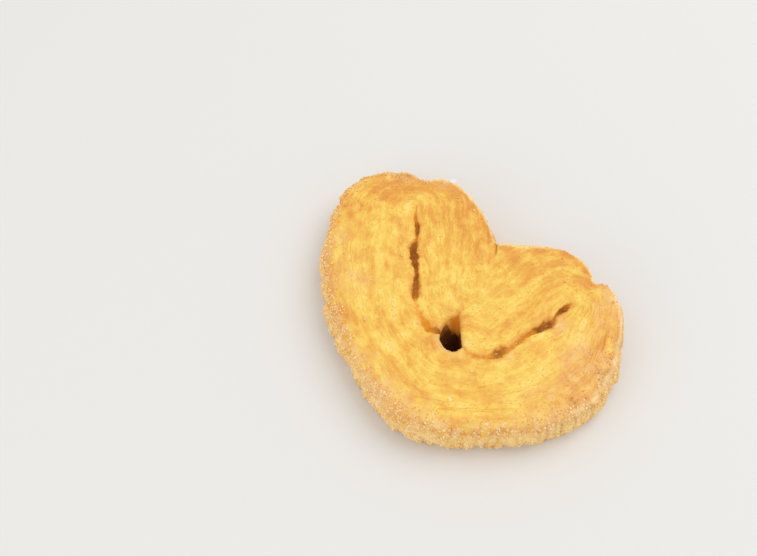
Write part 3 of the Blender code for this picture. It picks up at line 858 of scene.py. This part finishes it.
# Flakes: thin curled scraps of layer. Two stand at the left ear's far rim, coloured near white as painted
# highlight of the back light.
flakes = {
    "count": 30, "size": (0.5, 1.1), "narrow": (0.4, 0.9), "ragged": (0.65, 1.1), "thickness": 0.08,
    "curl": 0.5, "tilt": 0.35, "lift": 0.02, "tone": (0.5, 1), "seed": 15,
}
standingFlakes = [  # x, y, height, length, width, turn and tilt in degrees, tone
    (-24.2, 35.6, 12.9, 2.6, 1.5, 38.0, 35.0, 0.0), (-29.6, 31.3, 12.6, 0.8, 2.2, 38.0, 60.0, 0.05),
]


def flakeShape(length, width, draw, sides=9):  # a curved plate with a ragged edge
    turn = np.arange(sides) * 2 * math.pi / sides
    reach = 0.5 * draw.uniform(*flakes["ragged"], sides)
    rim = np.column_stack([length * reach * np.cos(turn), width * reach * np.sin(turn)])
    flat = np.vstack([[0, 0], rim])
    bow = flakes["curl"] * (0.25 * length - flat[:, 0] ** 2 / max(length, 0.1))
    lower = np.column_stack([flat, bow])
    corners = np.vstack([lower, lower + np.array([0, 0, flakes["thickness"]])])
    faces = []
    for side in range(sides):
        a, b = 1 + side, 1 + (side + 1) % sides
        top = sides + 1
        faces += [(0, b, a), (top, top + a, top + b), (a, b, top + b), (a, top + b, top + a)]
    return corners, np.array(faces)


def tilted(corners, turn, tilt):  # tilted about the plate's own length, then turned in plan
    swing = np.array([[1, 0, 0], [0, math.cos(tilt), -math.sin(tilt)], [0, math.sin(tilt), math.cos(tilt)]])
    spin = np.array([[math.cos(turn), -math.sin(turn), 0], [math.sin(turn), math.cos(turn), 0], [0, 0, 1]])
    return corners @ swing.T @ spin.T


def makeFlakes():
    spots, _, _, draw = surfaceSamples(pastryMesh, "flaky", flakes["count"], flakes["seed"])
    parts, tones = [], []
    for spot in spots:
        length = draw.uniform(*flakes["size"])
        corners, faces = flakeShape(length, length * draw.uniform(*flakes["narrow"]), draw)
        corners = tilted(corners, draw.uniform(0, 2 * math.pi), draw.normal(0, flakes["tilt"]))
        parts.append((corners * mm + spot + np.array([0, 0, flakes["lift"] * mm]), faces))
        tones.append(draw.uniform(*flakes["tone"]))
    for x, y, height, length, width, turn, tilt, tone in standingFlakes:
        corners, faces = flakeShape(length, width, draw)
        place = fitted(np.array([x, y, height]))
        parts.append((tilted(corners, math.radians(turn), math.radians(tilt)) * mm + place, faces))
        tones.append(tone)
    return joined("flakes", parts, tones)


flakePieces = makeFlakes()
print("flakes:", len(flakePieces.data.polygons), "faces")


# Materials.
def setInputs(tree, node, inputs):  # each is a value, or the output of another node
    for name, value in inputs.items():
        if isinstance(value, bpy.types.NodeSocket):
            tree.links.new(value, node.inputs[name])
        else:
            node.inputs[name].default_value = value


def addNode(tree, kind, inputs, **settings):
    made = tree.nodes.new(kind)
    for name, value in settings.items():
        setattr(made, name, value)
    setInputs(tree, made, inputs)
    return made


def attribute(tree, name):
    return addNode(tree, "ShaderNodeAttribute", {}, attribute_name=name).outputs["Fac"]


def spots(tree, scale, detail=2.0):  # unevenness, its scale counted in spots to the metre
    place = addNode(tree, "ShaderNodeTexCoord", {}).outputs["Object"]
    inputs = {"Vector": place, "Scale": scale, "Detail": detail}
    return addNode(tree, "ShaderNodeTexNoise", inputs).outputs["Fac"]


def addRamp(tree, factor, stops):
    ramp = addNode(tree, "ShaderNodeValToRGB", {"Fac": factor})
    elements = ramp.color_ramp.elements
    for index, (place, colour) in enumerate(stops):
        element = elements[index] if index < 2 else elements.new(place)
        element.position = place
        element.color = (*colour, 1)
    return ramp.outputs["Color"]


def addMath(tree, operation, *values):
    return addNode(tree, "ShaderNodeMath", dict(enumerate(values)), operation=operation).outputs[0]


def centred(tree, field, width, middle):  # a field of 0 to 1, moved and widened about the middle
    return addMath(tree, "MULTIPLY_ADD", addMath(tree, "SUBTRACT", field, 0.5), width, middle)


def mixed(tree, share, first, second):
    inputs = {"Factor": share, 2: first, 3: second}
    return addNode(tree, "ShaderNodeMix", inputs, data_type="FLOAT").outputs[0]


def tinted(tree, under, colour, amount):
    inputs = {"Factor": amount, 6: under, 7: (*colour, 1)}
    return addNode(tree, "ShaderNodeMix", inputs, data_type="RGBA").outputs[2]


bakedColours = [  # from pale dough to burnt sugar
    (0.0, (0.935, 0.73, 0.25)), (0.2, (0.92, 0.63, 0.122)), (0.42, (0.82, 0.395, 0.070)),
    (0.50, (0.75, 0.325, 0.056)), (0.62, (0.50, 0.177, 0.020)), (0.80, (0.20, 0.057, 0.007)),
    (1.0, (0.045, 0.018, 0.006)),
]


def bakedGroup():  # the colour of dough and sugar baked to a given toast
    group = bpy.data.node_groups.new("bakedColour", "ShaderNodeTree")
    group.interface.new_socket("Toast", in_out="INPUT", socket_type="NodeSocketFloat")
    group.interface.new_socket("Colour", in_out="OUTPUT", socket_type="NodeSocketColor")
    start = group.nodes.new("NodeGroupInput")
    end = group.nodes.new("NodeGroupOutput")
    group.links.new(addRamp(group, start.outputs["Toast"], bakedColours), end.inputs["Colour"])
    return group


baked = bakedGroup()


def bakedColour(tree, toast):
    return addNode(tree, "ShaderNodeGroup", {"Toast": toast}, node_tree=baked).outputs["Colour"]


def newMaterial(name, roughness, gloss=0.5):
    material = bpy.data.materials.new(name)
    material.use_nodes = True
    tree = material.node_tree
    surface = tree.nodes["Principled BSDF"]
    setInputs(tree, surface, {"Roughness": roughness, "Specular IOR Level": gloss})
    return material, tree, surface


crust = {
    "roughness": 0.65, "gloss": 0.3, "charGloss": 0.7, "bump": 0.28, "bumpDepth": 0.15,
    "darkest": 0.5, "darkSoft": 0.1, "char": 0.72, "charGrain": 0.25, "charRagged": 0.9,
    "charFrom": 0.15, "charTo": 0.85, "bitGrain": 0.2, "bitScale": 1500,
    "tints": {"caramel": (0.8, 0.31, 0.022), "frost": (0.92, 0.645, 0.29), "pale": (0.94, 0.72, 0.37)},
    "uneven": {  # how much each browns or pales the crust
        "bands": 0.26, "patches": 0.1, "smallPatches": 0.15, "mottle": 0.18,
        "streaks": 0.26, "fineStreaks": 0.09, "grain": 0.05,
    },
    "spots": {  # spots to the metre, and detail
        "plain": (600, 3), "grain": (1300, 2), "mottle": (350, 2), "patches": (100, 2),
        "smallPatches": (190, 2),
    },
    "streaks": {  # scale along and across the strip, and detail
        "bands": (0.4, 2.4, 1), "streaks": (2, 8, 3), "fineStreaks": (6.5, 16, 3),
    },
}


def crustMaterial():
    material, tree, surface = newMaterial("baked-crust", crust["roughness"])
    strip = addNode(tree, "ShaderNodeUVMap", {}, uv_map="strip").outputs[0]
    named = ("toast", "char", "caramel", "frost", "pale", "loose")
    marked = {name: attribute(tree, name) for name in named}
    fields = {name: spots(tree, *size) for name, size in crust["spots"].items()}
    for name, (along, across, detail) in crust["streaks"].items():
        places = addNode(tree, "ShaderNodeMapping", {"Vector": strip, "Scale": (along, across, 1)})
        inputs = {"Vector": places.outputs[0], "Scale": 1.0, "Detail": detail, "Roughness": 0.6}
        fields[name] = addNode(tree, "ShaderNodeTexNoise", inputs).outputs["Fac"]
    plain, grain, mottle, small = (fields[name] for name in ("plain", "grain", "mottle", "smallPatches"))
    for name in ("streaks", "fineStreaks"):
        fields[name] = mixed(tree, marked["loose"], fields[name], plain)
    toast = marked["toast"]
    for name, amount in crust["uneven"].items():
        toast = centred(tree, fields[name], amount * 2, toast)
    darkest = addMath(tree, "MAXIMUM", marked["toast"], crust["darkest"])
    toast = addMath(tree, "SMOOTH_MIN", toast, darkest, crust["darkSoft"])
    edge = {"Value": centred(tree, mottle, crust["charRagged"], marked["char"]),
            "From Min": crust["charFrom"], "From Max": crust["charTo"]}
    char = addNode(tree, "ShaderNodeMapRange", edge, interpolation_type="SMOOTHSTEP").outputs["Result"]
    toast = mixed(tree, char, toast, centred(tree, grain, crust["charGrain"], crust["char"]))
    colour = bakedColour(tree, toast)
    amounts = {"caramel": centred(tree, mottle, 1.4, 0.8),
               "frost": centred(tree, small, 2.4, centred(tree, plain, 2.0, 0.8)),
               "pale": centred(tree, small, 1.6, centred(tree, mottle, 2.0, 0.8))}
    for name, tint in crust["tints"].items():
        colour = tinted(tree, colour, tint, addMath(tree, "MULTIPLY", marked[name], amounts[name]))
    gloss = addMath(tree, "MULTIPLY_ADD", char, -crust["charGloss"] * crust["gloss"], crust["gloss"])
    bump = {"Height": addMath(tree, "ADD", grain, fields["fineStreaks"]), "Strength": crust["bump"],
            "Distance": crust["bumpDepth"] * mm}
    normal = addNode(tree, "ShaderNodeBump", bump).outputs[0]
    setInputs(tree, surface, {"Base Color": colour, "Specular IOR Level": gloss, "Normal": normal})
    return material


bitColours = {  # by the tone of each bit, from 0 to 1
    "sugar": [(0.0, (0.94, 0.80, 0.58)), (0.06, (0.94, 0.70, 0.36)), (1.0, (0.90, 0.58, 0.22))],
    # the flake ramp's cool near-white start is painted highlight, used only by the two standing flakes
    "flake": [(0.0, (0.80, 0.86, 0.88)), (0.08, (0.93, 0.80, 0.62)), (0.2, (0.92, 0.66, 0.28)),
              (1.0, (0.80, 0.42, 0.09))],
}


def bakedMaterial(name):  # for dust, crumbs and crests, each as baked as its tone says
    material, tree, surface = newMaterial(name, crust["roughness"], crust["gloss"])
    toast = centred(tree, spots(tree, crust["bitScale"]), crust["bitGrain"], attribute(tree, "tone"))
    setInputs(tree, surface, {"Base Color": bakedColour(tree, toast)})
    return material


def tonedMaterial(name, gloss):
    material, tree, surface = newMaterial(name, 0.5, gloss)
    setInputs(tree, surface, {"Base Color": addRamp(tree, attribute(tree, "tone"), bitColours[name])})
    return material


finishes = [(pastry, crustMaterial()), (sugarGrains, tonedMaterial("sugar", 0.3)),
            (dust, bakedMaterial("baked-dust")), (crumbs, bakedMaterial("baked-crumb")),
            (layerCrests, bakedMaterial("layer-edge")), (flakePieces, tonedMaterial("flake", 0.5)),
            (footCrystals, tonedMaterial("sugar", 0.3))]
for piece, material in finishes:
    piece.data.materials.append(material)
    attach(piece, "root")
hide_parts("palmier")
print("materials set")


# Floor, light and camera.
studio = {"floor": (0.78, 0.77, 0.75), "floorSize": 3, "world": (1.0, 1.0, 1.0), "worldStrength": 0.77}
lights = {  # power in watts, size and place in metres
    "key": (4.5, 0.9, (0.25, 0.55, 0.95)), "fill": (1.1, 0.6, (-0.15, -0.70, 0.30)),
}
view = {"azimuth": 38.0, "elevation": 58.0, "distance": 300.0, "aim": (-22.85, -2.35, 6.0), "lens": 50.0,
        "sensor": 36.0, "clip": (0.01, 20.0)}


def makeFloor():
    square = bmesh.new()
    bmesh.ops.create_grid(square, x_segments=1, y_segments=1, size=studio["floorSize"])
    floor = addObject("floor", meshFrom(square, "floor"))
    material, tree, surface = newMaterial("floor", 0.8)
    setInputs(tree, surface, {"Base Color": (*studio["floor"], 1)})
    floor.data.materials.append(material)


def aimed(name, data, place, back):  # it looks away from its back
    made = addObject(name, data)
    made.location = place
    made.rotation_euler = (-back).to_track_quat("-Z", "Y").to_euler()
    return made


def makeLight():
    world = bpy.data.worlds.new("studio")
    world.use_nodes = True
    background = {"Color": (*studio["world"], 1), "Strength": studio["worldStrength"]}
    setInputs(world.node_tree, world.node_tree.nodes["Background"], background)
    bpy.context.scene.world = world
    for name, (power, size, place) in lights.items():
        lamp = bpy.data.lights.new(name, "AREA")
        lamp.energy, lamp.size = power, size
        aimed(name, lamp, place, Vector(place))


def makeCamera():
    azimuth, elevation = math.radians(view["azimuth"]), math.radians(view["elevation"])
    back = Vector((math.sin(azimuth) * math.cos(elevation), -math.cos(azimuth) * math.cos(elevation),
                   math.sin(elevation)))
    lens = bpy.data.cameras.new("camera")
    lens.lens, lens.sensor_width = view["lens"], view["sensor"]
    lens.clip_start, lens.clip_end = view["clip"]
    place = Vector(view["aim"]) * mm + back * view["distance"] * mm
    bpy.context.scene.camera = aimed("camera", lens, place, back)


makeFloor()
makeLight()
makeCamera()
bpy.context.scene.view_settings.view_transform = "Standard"
print("scene ready")
